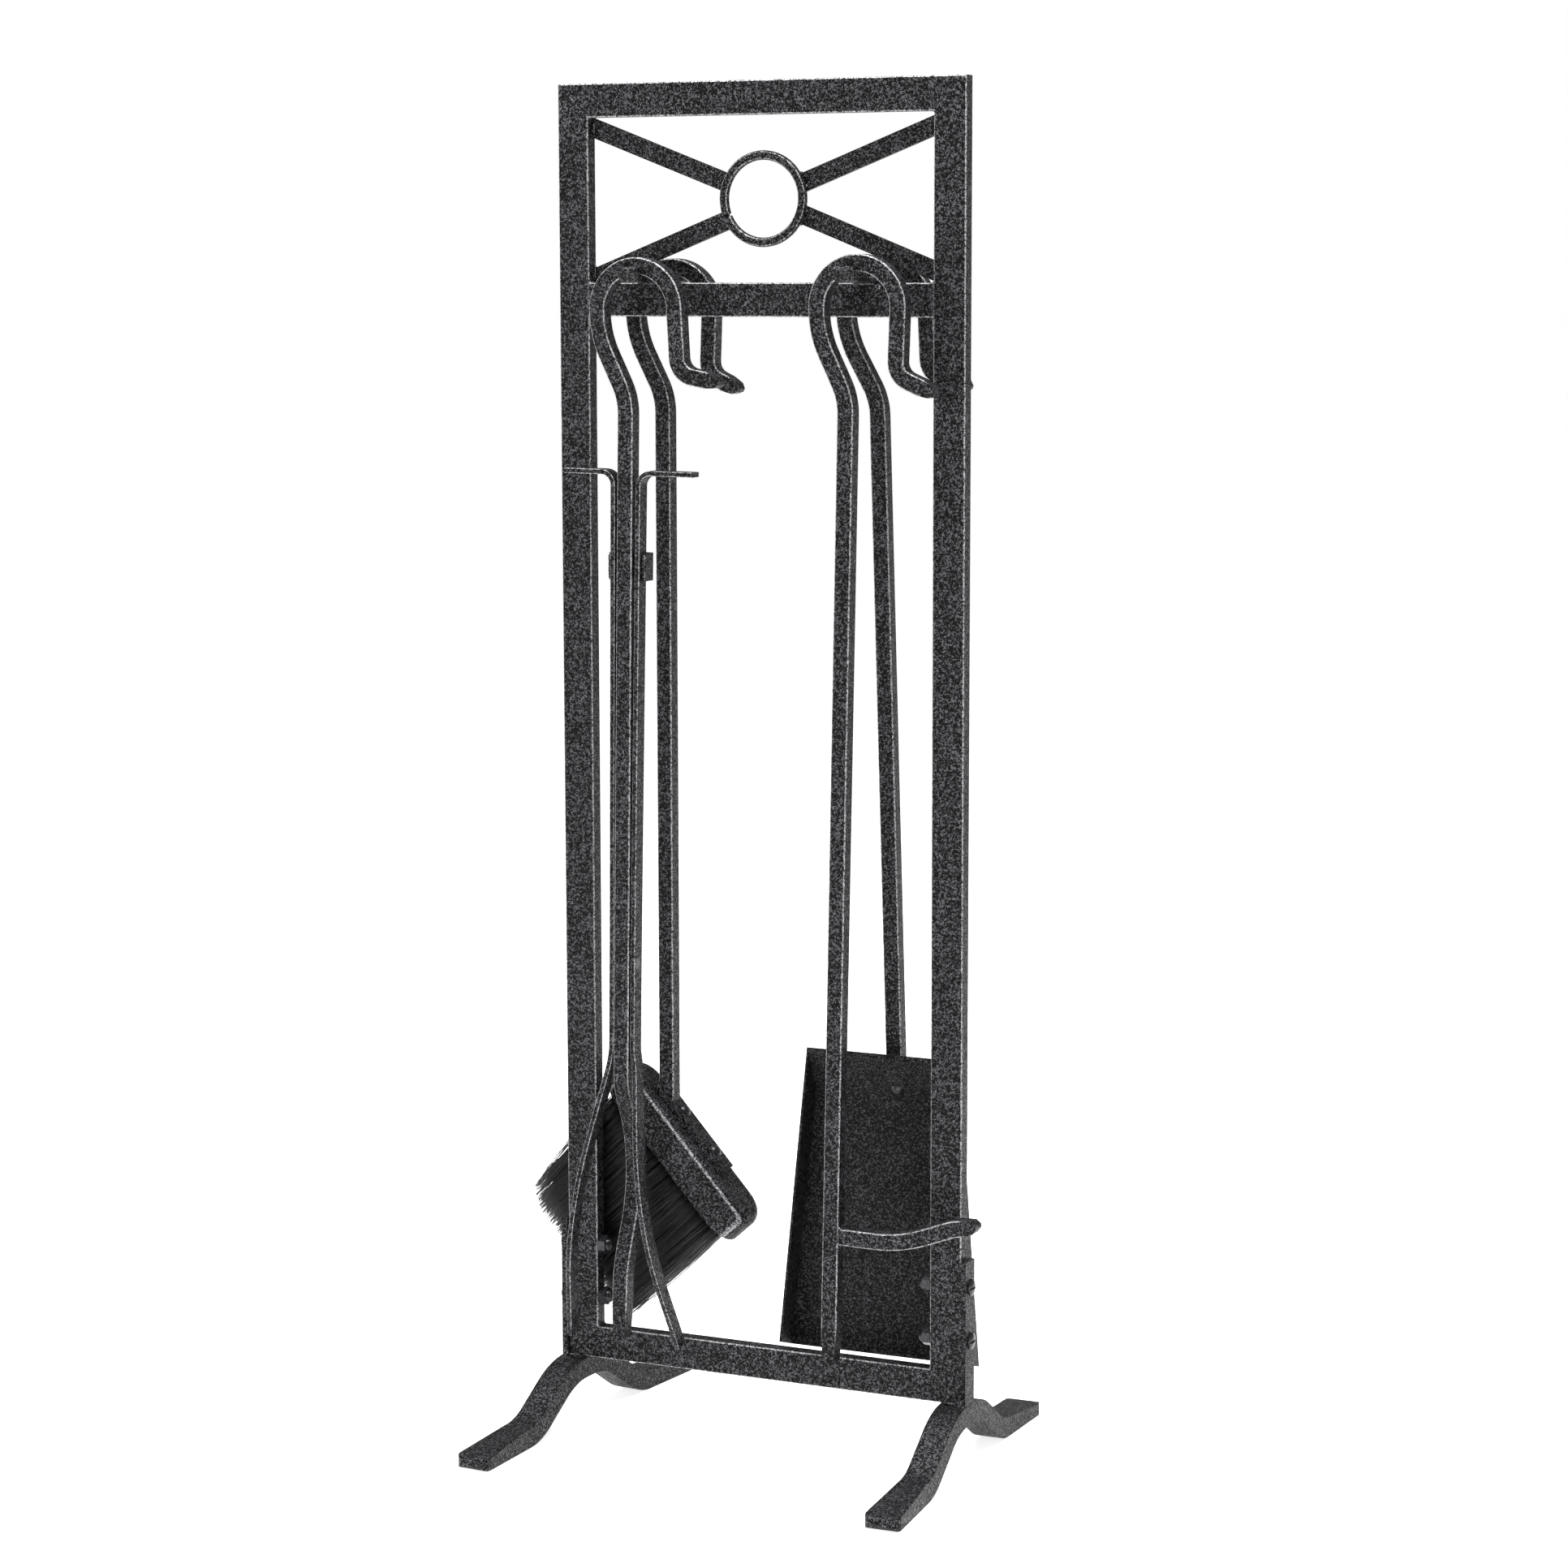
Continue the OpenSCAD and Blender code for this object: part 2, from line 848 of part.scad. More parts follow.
// The brush head's frame: origin in the middle of the cap's top, X down along the head
module at_head() {
    translate([head_x, 0, head_z])
        rotate([0, head_slope, 0])
            children();
}

// Half of the cap's cross-section, from its middle outwards, with a rounded top edge
module cap_section(inset, low) {
    half = cap_w / 2 - inset;
    round_r = cap_r - inset;
    translate([0, low])
        square([half, -inset - round_r - low]);
    translate([0, -inset - round_r])
        square([half - round_r, round_r]);
    translate([half - round_r, -inset - round_r])
        intersection() {
            circle(r = round_r);
            square(round_r);
        }
}

// A long body with round ends that follows the cap's section
module cap_body(inset, low) {
    straight = cap_l - cap_w;
    rotate([90, 0, 90])
        linear_extrude(straight, center = true) {
            cap_section(inset, low);
            mirror([1, 0])
                cap_section(inset, low);
        }
    for (end = [0, 1])
        mirror([end, 0, 0])
            translate([straight / 2, 0, 0])
                rotate([0, 0, -90])
                    rotate_extrude(angle = 180)
                        cap_section(inset, low);
}

module rivet_holes(d) {
    for (x = rivet_at)
        translate([x, 0, -cap_h])
            cylinder(d = d, h = 2 * cap_h);
}

module brush_crook() {
    color(STEEL) in_place()
        hang_brush()
            crook(-2, 25, brush_tip_cut);
}

module brush_shaft() {
    color(STEEL) in_place()
        hang_brush()
            difference() {
                shaft(head_z);
                at_head()
                    translate([-cap_l, -bar_w, strap_t + touch - 2 * cap_l])
                        cube([2 * cap_l, 2 * bar_w, 2 * cap_l]);
            }
}

module brush_strap() {
    strap_l = 69;
    strap_from = -42;
    color(STEEL) in_place()
        hang_brush()
            at_head()
                difference() {
                    translate([strap_from, -strap_w / 2, touch])
                        cube([strap_l, strap_w, strap_t - touch]);
                    rivet_holes(4.1);
                }
}

module brush_cap() {
    color(STEEL) in_place()
        hang_brush()
            at_head()
                difference() {
                    cap_body(0, -cap_h);
                    cap_body(cap_t, -cap_h - over);
                    rivet_holes(4.1);
                }
}

module brush_block() {
    block_gap = 0.2;
    color(WOOD) in_place()
        hang_brush()
            at_head()
                difference() {
                    cap_body(cap_t + block_gap, -cap_h);
                    rivet_holes(4.1);
                }
}

// The bundle of bristles, with its left end leaning inwards
module brush_bristles() {
    root_z = -cap_h - touch;
    tip_z = -cap_h - bristle_l;
    thickness = 31;
    color(BRISTLE) in_place()
        hang_brush()
            at_head()
                rotate([90, 0, 0])
                    linear_extrude(thickness, center = true)
                        polygon([
                            [-54, root_z], [-47, tip_z + 14], [-38, tip_z],
                            [54, tip_z], [57, tip_z + 6], [55, root_z]
                        ]);
}

module brush_rivets() {
    head_d = 8;
    head_h = 2.2;
    color(BRIGHT) in_place()
        hang_brush()
            at_head()
                for (x = rivet_at)
                    translate([x, 0, strap_t + touch]) {
                        translate([0, 0, -16])
                            cylinder(d = 4, h = 16);
                        rivet_head(head_d, head_h);
                    }
}

// ---------------------------------------------------------------- tongs

module tongs_crook() {
    color(STEEL) in_place()
        hang_tongs()
            crook(4, 10);
}

module tongs_shaft() {
    color(STEEL) in_place()
        hang_tongs()
            difference() {
                shaft(middle_prong_z + start_l + lap);
                translate([-shaft_offset, 0, pin_z])
                    rotate([0, 90, 0])
                        cylinder(d = pin_d + 2 * touch, h = 2 * bar_w, center = true);
            }
}

// The lower end of the tongs' bar, which bows to the back
module tongs_middle_prong() {
    color(STEEL) in_place()
        hang_tongs()
            translate([-shaft_offset, 0, middle_prong_z + start_l])
                rotate([180, 0, 0])
                    bent_bar(
                        [
                            line(start_l),
                            bend(40, 26, FRONT),
                            line(10),
                            bend(90, 48, BACK),
                            line(16),
                            bend(60, 20, FRONT),
                            taper(11, 24, 7)
                        ],
                        bar_w, bar_w
                    );
}

// The pivot pin, with a countersunk head in each fork arm
module tongs_pin() {
    half = fork_x + arm_t / 2;
    color(BRIGHT) in_place()
        hang_tongs()
            translate([-shaft_offset, 0, pin_z])
                rotate([0, 90, 0]) {
                    cylinder(d = pin_d, h = 2 * half, center = true);
                    mirror_copy([0, 0, 1])
                        translate([0, 0, half - 1])
                            cylinder(d1 = pin_d, d2 = pin_d + 2, h = 1);
                }
}

// The bore for the pin in a fork arm, with its countersink
module pin_bore() {
    half = fork_x + arm_t / 2;
    bore_d = pin_d + 2 * hole_gap;
    rotate([0, 90, 0]) {
        cylinder(d = bore_d, h = 2 * half + 2 * over, center = true);
        translate([0, 0, half - 1 - hole_gap])
            cylinder(d1 = bore_d, d2 = bore_d + 2, h = 1);
        translate([0, 0, half - hole_gap])
            cylinder(d = bore_d + 2, h = over);
    }
}

// The right fork arm: a finger tab and a long strip down past the pin
module fork_arm(reach) {
    rise = tab_z - pin_z;
    tab_l = reach - fork_x - tab_bend_r - rise * tan(arm_splay);
    above = 10;
    difference() {
        translate([fork_x, arm_back, 0]) {
            translate([0, 0, 2 * lap - arm_below])
                straight_bar(above + arm_below - 2 * lap, arm_t, arm_d, strip_edge);
            translate([0, 0, above])
                bent_bar(
                    [
                        bend(300, arm_splay, RIGHT),
                        line(rise - tab_bend_r - above - 2),
                        bend(tab_bend_r, 90 - arm_splay, RIGHT),
                        line(tab_l)
                    ],
                    arm_t, arm_d, strip_edge
                );
        }
        pin_bore();
    }
}

// The lower end of the right fork arm, which spreads outwards and bows to the front
module side_prong() {
    translate([fork_x, arm_back, -arm_below])
        rotate([180, 0, 0])
            bent_bar(
                [
                    line(start_l),
                    bend(30, prong_splay, RIGHT),
                    line(2),
                    bend(40, 16, BACK),
                    line(40),
                    bend(150, 36, FRONT),
                    taper(26, 16, 2.5)
                ],
                arm_t, arm_d, strip_edge
            );
}

module hang_fork() {
    hang_tongs()
        translate([-shaft_offset, 0, pin_z])
            children();
}

module tongs_arm_left() {
    color(STEEL) in_place()
        hang_fork()
            mirror([1, 0, 0])
                fork_arm(tab_left);
}

module tongs_arm_right() {
    color(STEEL) in_place()
        hang_fork()
            fork_arm(tab_right);
}

module tongs_prong_left() {
    color(STEEL) in_place()
        hang_fork()
            mirror([1, 0, 0])
                side_prong();
}

module tongs_prong_right() {
    color(STEEL) in_place()
        hang_fork()
            side_prong();
}

// A strap around the back of the shaft that joins the two fork arms
module tongs_bridge() {
    arm_out = fork_x + arm_t / 2 + (bridge_z + bridge_h - pin_z) * tan(arm_splay);
    front_y = arm_back - 1;
    back_y = arm_back + arm_d / 2 + bridge_back;
    corner_r = 3;
    inner_r = corner_r - bridge_t;
    color(STEEL) in_place()
        hang_tongs()
            translate([-shaft_offset, 0, bridge_z])
                linear_extrude(bridge_h)
                    difference() {
                        bridge_outline(arm_out + bridge_t, front_y, back_y, corner_r);
                        bridge_outline(arm_out, front_y - over, back_y - bridge_t, inner_r);
                    }
}

// A rectangle with its two rear corners rounded
module bridge_outline(half, front_y, back_y, r) {
    translate([-half, front_y])
        square([2 * half, back_y - r - front_y]);
    translate([r - half, front_y])
        square([2 * half - 2 * r, back_y - front_y]);
    for (side = [-1, 1])
        translate([side * (half - r), back_y - r])
            circle(r = r);
}

stile_left();
stile_right();
top_rail();
bottom_rail();
mid_rail();
diagonal_upper_left();
diagonal_upper_right();
diagonal_lower_left();
diagonal_lower_right();
centre_ring();
hanger_left();
hanger_right();
foot_left();
foot_right();
foot_plate_left();
foot_plate_right();
foot_bolts_left();
foot_bolts_right();
foot_nuts_left();
foot_nuts_right();
poker_crook();
poker_shaft();
poker_hook();
shovel_crook();
shovel_shaft();
shovel_pan();
shovel_rivet();
brush_crook();
brush_shaft();
brush_strap();
brush_cap();
brush_block();
brush_bristles();
brush_rivets();
tongs_crook();
tongs_shaft();
tongs_middle_prong();
tongs_pin();
tongs_arm_left();
tongs_arm_right();
tongs_prong_left();
tongs_prong_right();
tongs_bridge();
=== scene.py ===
"""The fireplace tool set's looks: camera, light, coatings, weld beads and bristles."""

import json
import math
import random

import bpy
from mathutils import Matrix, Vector


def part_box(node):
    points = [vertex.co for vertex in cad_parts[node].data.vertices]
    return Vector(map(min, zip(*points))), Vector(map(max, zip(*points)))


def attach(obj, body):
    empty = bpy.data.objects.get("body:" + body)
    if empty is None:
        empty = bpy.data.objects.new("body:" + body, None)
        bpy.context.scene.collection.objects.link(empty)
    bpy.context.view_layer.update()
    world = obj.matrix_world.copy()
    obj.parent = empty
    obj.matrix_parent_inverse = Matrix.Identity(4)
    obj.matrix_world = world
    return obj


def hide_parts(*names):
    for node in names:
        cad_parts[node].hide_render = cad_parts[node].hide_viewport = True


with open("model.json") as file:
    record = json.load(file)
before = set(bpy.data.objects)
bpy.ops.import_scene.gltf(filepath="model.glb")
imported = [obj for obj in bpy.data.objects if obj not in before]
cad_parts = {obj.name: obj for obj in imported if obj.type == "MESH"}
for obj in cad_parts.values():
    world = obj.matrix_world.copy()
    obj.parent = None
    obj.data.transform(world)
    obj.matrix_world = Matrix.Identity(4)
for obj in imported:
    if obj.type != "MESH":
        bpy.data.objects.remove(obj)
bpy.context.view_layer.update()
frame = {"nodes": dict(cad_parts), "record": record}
MM = 0.001

# ---------------------------------------------------------------- camera

left_low = Vector(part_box("stile_left")[0])
right_high = Vector(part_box("stile_right")[1])
middle_x = (left_low.x + right_high.x) / 2
frame_low = left_low.z

CAMERA_RIGHT = 0.947
CAMERA_FRONT = 2.0406
CAMERA_ABOVE = 0.6757
CAMERA_TURN = (82.21, 0.1, 24.55)
CAMERA_LENS = 86.63

camera_data = bpy.data.cameras.new("camera")
camera_data.sensor_width = 36.0
camera_data.lens = CAMERA_LENS
camera = bpy.data.objects.new("camera", camera_data)
camera.location = (middle_x + CAMERA_RIGHT, -CAMERA_FRONT, frame_low + CAMERA_ABOVE)
camera.rotation_euler = [math.radians(angle) for angle in CAMERA_TURN]
bpy.context.scene.collection.objects.link(camera)
bpy.context.scene.camera = camera

# ---------------------------------------------------------------- floor and light

FLOOR_HALF = 60.0
FLOOR_GLOW = 0.78
WORLD_LIGHT = 0.24
AIM_HEIGHT = 0.42


def new_object(name, data):
    obj = bpy.data.objects.new(name, data)
    bpy.context.scene.collection.objects.link(obj)
    return obj


def floor():
    """A floor wide enough to have no horizon in view, lifted to white by a little glow."""
    mesh = bpy.data.meshes.new("floor")
    h = FLOOR_HALF
    mesh.from_pydata([(-h, -h, 0), (h, -h, 0), (h, h, 0), (-h, h, 0)], [], [(0, 1, 2, 3)])
    obj = new_object("floor", mesh)
    mat = bpy.data.materials.new("pale_floor")
    mat.use_nodes = True
    shader = mat.node_tree.nodes["Principled BSDF"]
    shader.inputs["Base Color"].default_value = (0.9, 0.9, 0.9, 1)
    shader.inputs["Roughness"].default_value = 0.8
    shader.inputs["Specular IOR Level"].default_value = 0.1
    shader.inputs["Emission Color"].default_value = (1, 1, 1, 1)
    shader.inputs["Emission Strength"].default_value = FLOOR_GLOW
    mesh.materials.append(mat)


def area_light(name, place, aim, width, height, power):
    data = bpy.data.lights.new(name, "AREA")
    data.shape = "RECTANGLE"
    data.size = width
    data.size_y = height
    data.energy = power
    obj = new_object(name, data)
    obj.location = place
    obj.rotation_euler = (Vector(aim) - Vector(place)).to_track_quat("-Z", "Y").to_euler()


def light_the_scene():
    """A dim studio world that the camera sees as white, and three area lights."""
    world = bpy.data.worlds.new("studio")
    world.use_nodes = True
    tree = world.node_tree
    background = tree.nodes["Background"]
    background.inputs["Color"].default_value = (1, 1, 1, 1)
    background.inputs["Strength"].default_value = WORLD_LIGHT
    backdrop = tree.nodes.new("ShaderNodeBackground")
    backdrop.inputs["Color"].default_value = (1, 1, 1, 1)
    backdrop.inputs["Strength"].default_value = 1.0
    rays = tree.nodes.new("ShaderNodeLightPath")
    mix = tree.nodes.new("ShaderNodeMixShader")
    tree.links.new(rays.outputs["Is Camera Ray"], mix.inputs["Fac"])
    tree.links.new(background.outputs["Background"], mix.inputs[1])
    tree.links.new(backdrop.outputs["Background"], mix.inputs[2])
    tree.links.new(mix.outputs["Shader"], tree.nodes["World Output"].inputs["Surface"])
    bpy.context.scene.world = world
    bpy.context.scene.view_settings.view_transform = "Standard"
    aim = (middle_x, 0, AIM_HEIGHT)
    area_light("key", (2.6, -1.2, 1.3), aim, 0.35, 1.8, 7)
    area_light("fill", (-1.4, -2.4, 1.5), aim, 0.8, 1.6, 22)
    area_light("top", (0.1, -0.2, 2.4), aim, 2.2, 1.4, 110)


floor()
light_the_scene()

# ---------------------------------------------------------------- materials


class Nodes:
    """A short way to add and join shader nodes."""

    def __init__(self, name):
        self.material = bpy.data.materials.new(name)
        self.material.use_nodes = True
        self.tree = self.material.node_tree
        self.shader = self.tree.nodes["Principled BSDF"]
        coordinates = self.add("ShaderNodeTexCoord").outputs
        self.place = coordinates["Object"]
        self.facing = coordinates["Normal"]

    def add(self, kind, **values):
        node = self.tree.nodes.new(kind)
        for key, value in values.items():
            if key.startswith("set_"):
                setattr(node, key[4:], value)
            else:
                node.inputs[key.replace("_", " ")].default_value = value
        return node

    def join(self, a, b):
        self.tree.links.new(a, b)

    def noise(self, scale, detail=2.0, roughness=0.5, distortion=0.0, vector=None):
        node = self.add(
            "ShaderNodeTexNoise", Scale=scale, Detail=detail, Roughness=roughness, Distortion=distortion
        )
        self.join(vector or self.place, node.inputs["Vector"])
        return node.outputs["Fac"]

    def ramp(self, fac, *stops):
        node = self.add("ShaderNodeValToRGB")
        ramp = node.color_ramp
        while len(ramp.elements) < len(stops):
            ramp.elements.new(0.5)
        for element, (at, colour) in zip(ramp.elements, stops):
            element.position = at
            element.color = (*colour, 1) if isinstance(colour, tuple) else (colour, colour, colour, 1)
        self.join(fac, node.inputs["Fac"])
        return node.outputs["Color"]

    def mix(self, fac, a, b, blend="MIX"):
        node = self.add("ShaderNodeMix", set_data_type="RGBA", set_blend_type=blend)
        if isinstance(fac, float):
            node.inputs[0].default_value = fac
        else:
            self.join(fac, node.inputs[0])
        for value, socket in ((a, node.inputs[6]), (b, node.inputs[7])):
            if isinstance(value, tuple):
                socket.default_value = (*value, 1)
            else:
                self.join(value, socket)
        return node.outputs[2]

    def bump(self, height, strength, distance, normal=None):
        node = self.add("ShaderNodeBump", Strength=strength, Distance=distance)
        self.join(height, node.inputs["Height"])
        if normal is not None:
            self.join(normal, node.inputs["Normal"])
        return node.outputs["Normal"]


BLACK = (0.0012, 0.0012, 0.0014)
SILVER = (0.098, 0.096, 0.103)
# The light grey of the painted highlight on chamfer faces, which stands in for the light they catch.
CHAMFER_HIGHLIGHT = (0.40, 0.40, 0.41)
GRAIN_PER_M = 900
LUMPS_PER_M = 120
CLOUDS_PER_M = 38


def hammertone(name, fleck=1.0, rounding=0.0):
    """Charcoal powder coat: near black, fine winding silver flecks, and a painted highlight on the
    chamfers.

    A chamfer is where the surface faces half to the front or back. With a rounding, in metres,
    the edges are shaded as rounded ones instead, for forged and folded pieces.
    """
    n = Nodes(name)
    grain = n.noise(GRAIN_PER_M, detail=1.3, roughness=0.45, distortion=1.1)
    flecks = n.ramp(grain, (0.53, 0.0), (0.59, 1.0))
    cloud = n.noise(CLOUDS_PER_M, detail=3.0)
    shade = n.ramp(cloud, (0.3, 0.78), (0.75, 1.12))
    silver = tuple(channel * fleck for channel in SILVER)
    colour = n.mix(flecks, BLACK, silver)
    colour = n.mix(1.0, colour, shade, "MULTIPLY")
    lumps = n.noise(LUMPS_PER_M, detail=1.0)
    if rounding:
        soft = n.add("ShaderNodeBevel", set_samples=6, Radius=rounding)
        normal = n.bump(lumps, 0.25, 0.0006, soft.outputs["Normal"])
    else:
        split = n.add("ShaderNodeSeparateXYZ")
        n.join(n.facing, split.inputs["Vector"])
        depth = n.add("ShaderNodeMath", set_operation="ABSOLUTE")
        n.join(split.outputs["Y"], depth.inputs[0])
        # Painted highlight: where the surface faces half to the front or back, the colour is mixed
        # towards a light grey, broken up by the grain.
        chamfer = n.ramp(depth.outputs["Value"], (0.60, 0.0), (0.66, 1.0), (0.76, 1.0), (0.82, 0.0))
        painted_highlight = n.mix(1.0, chamfer, n.ramp(grain, (0.42, 0.10), (0.56, 1.0)), "MULTIPLY")
        colour = n.mix(painted_highlight, colour, CHAMFER_HIGHLIGHT)
        normal = n.bump(lumps, 0.25, 0.0006)
    n.join(colour, n.shader.inputs["Base Color"])
    rough = n.ramp(grain, (0.42, 0.55), (0.62, 0.40))
    n.join(rough, n.shader.inputs["Roughness"])
    metal = n.ramp(grain, (0.5, 0.0), (0.62, 0.35))
    n.join(metal, n.shader.inputs["Metallic"])
    n.shader.inputs["Specular IOR Level"].default_value = 0.10
    normal = n.bump(grain, 0.7, 0.0005, normal)
    n.join(normal, n.shader.inputs["Normal"])
    return n.material


def dark_hardware(name):
    """Bolts, nuts and rivets: black oxide with a slight gloss and fine machining marks."""
    n = Nodes(name)
    marks = n.noise(1500, detail=3.0)
    colour = n.ramp(marks, (0.35, (0.010, 0.010, 0.011)), (0.75, (0.055, 0.056, 0.060)))
    n.join(colour, n.shader.inputs["Base Color"])
    n.shader.inputs["Metallic"].default_value = 0.6
    rough = n.ramp(n.noise(300, detail=2.0), (0.3, 0.20), (0.8, 0.38))
    n.join(rough, n.shader.inputs["Roughness"])
    n.join(n.bump(marks, 0.25, 0.0001), n.shader.inputs["Normal"])
    return n.material


def bristle_fibre(name):
    """Black synthetic strands that differ a little from one to the next."""
    n = Nodes(name)
    strand = n.add("ShaderNodeAttribute", set_attribute_name="strand").outputs["Fac"]
    darkest, usual, greyest = (0.0035, 0.0033, 0.0032), (0.008, 0.0078, 0.0078), (0.040, 0.038, 0.036)
    colour = n.ramp(strand, (0.0, darkest), (0.75, usual), (1.0, greyest))
    n.join(colour, n.shader.inputs["Base Color"])
    rough = n.ramp(n.noise(260, detail=2.0), (0.3, 0.30), (0.8, 0.48))
    n.join(rough, n.shader.inputs["Roughness"])
    return n.material


def stained_wood(name):
    """Dark stained wood with a fine grain along the head."""
    n = Nodes(name)
    stretch = n.add("ShaderNodeMapping", Scale=(60, 400, 400))
    n.join(n.place, stretch.inputs["Vector"])
    grain = n.noise(1.0, detail=5.0, roughness=0.6, vector=stretch.outputs["Vector"])
    colour = n.ramp(grain, (0.3, (0.022, 0.014, 0.009)), (0.7, (0.075, 0.046, 0.028)))
    n.join(colour, n.shader.inputs["Base Color"])
    n.shader.inputs["Roughness"].default_value = 0.6
    n.join(n.bump(grain, 0.3, 0.0002), n.shader.inputs["Normal"])
    return n.material


COATING = hammertone("hammertone_coating")
FORGED = hammertone("hammertone_forged", rounding=0.0022)
FOLDED = hammertone("hammertone_folded", fleck=0.6, rounding=0.0008)
WELD = hammertone("hammertone_weld", fleck=1.35)
HARDWARE = dark_hardware("black_oxide")
FIBRE = bristle_fibre("bristle_strands")
WOOD = stained_wood("stained_wood")

finish_of_slot = {
    "coated_steel": COATING,
    "fastener_steel": HARDWARE,
    "block_wood": WOOD,
    "bristle_fibre": FIBRE,
}
finish_of_node = {
    "foot_left": FORGED,
    "foot_right": FORGED,
    "hanger_left": FORGED,
    "hanger_right": FORGED,
    "shovel_pan": FOLDED,
}
for part in frame["record"]["subparts"]:
    node = frame["nodes"][part["node"]]
    finish = finish_of_node.get(part["node"], finish_of_slot[part["material_slot"]])
    if not node.material_slots:
        node.data.materials.append(finish)
    for slot in node.material_slots:
        slot.material = finish

# ---------------------------------------------------------------- weld beads


def mesh_piece(name, verts, faces, material, body):
    mesh = bpy.data.meshes.new(name)
    mesh.from_pydata([tuple(v) for v in verts], [], faces)
    mesh.validate()
    mesh.materials.append(material)
    mesh.shade_smooth()
    obj = new_object(name, mesh)
    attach(obj, body)
    return obj


ACROSS = Vector((0.31, 0.42, 0.85))


def tube(path, radii, sides):
    """Rings of points along a path, closed at both ends by a flat face."""
    verts, faces = [], []
    count = len(path)
    for i, point in enumerate(path):
        ahead = path[min(i + 1, count - 1)]
        behind = path[max(i - 1, 0)]
        along = (ahead - behind).normalized()
        side = along.cross(ACROSS).normalized()
        over = side.cross(along).normalized()
        for k in range(sides):
            a = 2 * math.pi * k / sides
            verts.append(point + radii[i] * (math.cos(a) * side + math.sin(a) * over))
    for i in range(count - 1):
        for k in range(sides):
            a, b = i * sides + k, i * sides + (k + 1) % sides
            faces.append((a, b, b + sides, a + sides))
    for ring, order in ((0, -1), (count - 1, 1)):
        start = ring * sides
        faces.append(tuple(start + k for k in range(sides))[::order])
    return verts, faces


MITRE_SEED, RAIL_SEED, HANGER_SEED, EMBLEM_SEED, FOOT_SEED = 10, 20, 30, 40, 50
POKER_SEED, BRIDGE_SEED, BRUSH_SEED, SHOVEL_SEED, STRAND_SEED = 60, 61, 62, 63, 7
RIPPLE_PITCH = 1.5
RIPPLE_STEPS = 4
RIPPLE = 0.13
UNEVEN = 0.10
WANDER = 0.09
BEAD_SIDES = 10


def bead_mesh(path, radius, rng):
    """A weld bead: overlapping ripples along a path in mm, uneven in width."""
    points = [Vector(p) * MM for p in path]
    line, radii = [], []
    length = sum((b - a).length for a, b in zip(points, points[1:]))
    steps = max(8, int(length / (RIPPLE_PITCH * MM) * RIPPLE_STEPS))
    for i in range(steps + 1):
        s = i / steps * length
        for a, b in zip(points, points[1:]):
            if s <= (b - a).length + 1e-9:
                at = a.lerp(b, s / (b - a).length)
                break
            s -= (b - a).length
        t = i / steps
        ripple = 1 + RIPPLE * math.sin(2 * math.pi * i / RIPPLE_STEPS) + rng.uniform(-UNEVEN, UNEVEN)
        ends = min(1.0, 3.2 * math.sqrt(max(t * (1 - t), 0)) + 0.22)
        drift = Vector((rng.uniform(-1, 1), rng.uniform(-1, 1), rng.uniform(-1, 1)))
        line.append(at + drift * radius * MM * WANDER)
        radii.append(radius * MM * ripple * ends)
    return tube(line, radii, BEAD_SIDES)


def bead(*path, radius):
    """One bead for weld(): the points along its middle and its radius, in mm."""
    return path, radius


def weld(name, body, beads, seed):
    """One piece that holds all the beads of one joint."""
    rng = random.Random(seed)
    verts, faces = [], []
    for path, radius in beads:
        v, f = bead_mesh(path, radius, rng)
        faces += [tuple(i + len(verts) for i in face) for face in f]
        verts += v
    return mesh_piece(name, verts, faces, WELD, body)


NODE_BOX = {}
for node_name in frame["nodes"]:
    node_low, node_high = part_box(node_name)
    NODE_BOX[node_name] = (Vector(node_low) / MM, Vector(node_high) / MM)


def mm_box(node):
    """The low and high corners of a node's box, in mm. Each box is measured once, for speed."""
    return NODE_BOX[node]


# In each function below, beads follow the edges of its nodes' boxes, and the small offsets that
# seat them on the joint are in mm.


def frame_welds():
    """Ground flush seams on the mitres' faces, beads in their inner corners, and the middle rail's."""
    l_low, l_high = mm_box("stile_left")
    r_low, r_high = mm_box("stile_right")
    m_low, m_high = mm_box("mid_rail")
    front, back = l_low.y, l_high.y
    tube_w = l_high.x - l_low.x
    corners = (
        (l_low.x, 1, l_high.z, -1),
        (r_high.x, -1, l_high.z, -1),
        (l_low.x, 1, l_low.z, 1),
        (r_high.x, -1, l_low.z, 1),
    )
    for number, (corner_x, toward, corner_z, up) in enumerate(corners):
        beads = []
        for y in (front + 0.12, back - 0.12):
            start = (corner_x + toward * 0.8, y, corner_z + up * 0.8)
            end = (corner_x + toward * (tube_w - 0.2), y, corner_z + up * (tube_w - 0.2))
            beads.append(bead(start, end, radius=0.32))
        x, z = corner_x + toward * tube_w, corner_z + up * tube_w
        beads.append(bead((x, front + 0.6, z), (x, back - 0.6, z), radius=1.0))
        weld(f"mitre_weld_{number + 1}", "stand", beads, MITRE_SEED + number)
    for number, (x, side) in enumerate(((l_high.x, 1), (r_low.x, -1))):
        beads = []
        for y in (front + 0.2, back - 0.2):
            beads.append(bead((x, y, m_low.z + 0.6), (x, y, m_high.z - 0.6), radius=0.42))
        seam_x = x + side * 0.1
        for z in (m_low.z, m_high.z):
            beads.append(bead((seam_x, front + 0.8, z), (seam_x, back - 0.8, z), radius=1.1))
        weld(f"mid_rail_weld_{number + 1}", "stand", beads, RAIL_SEED + number)


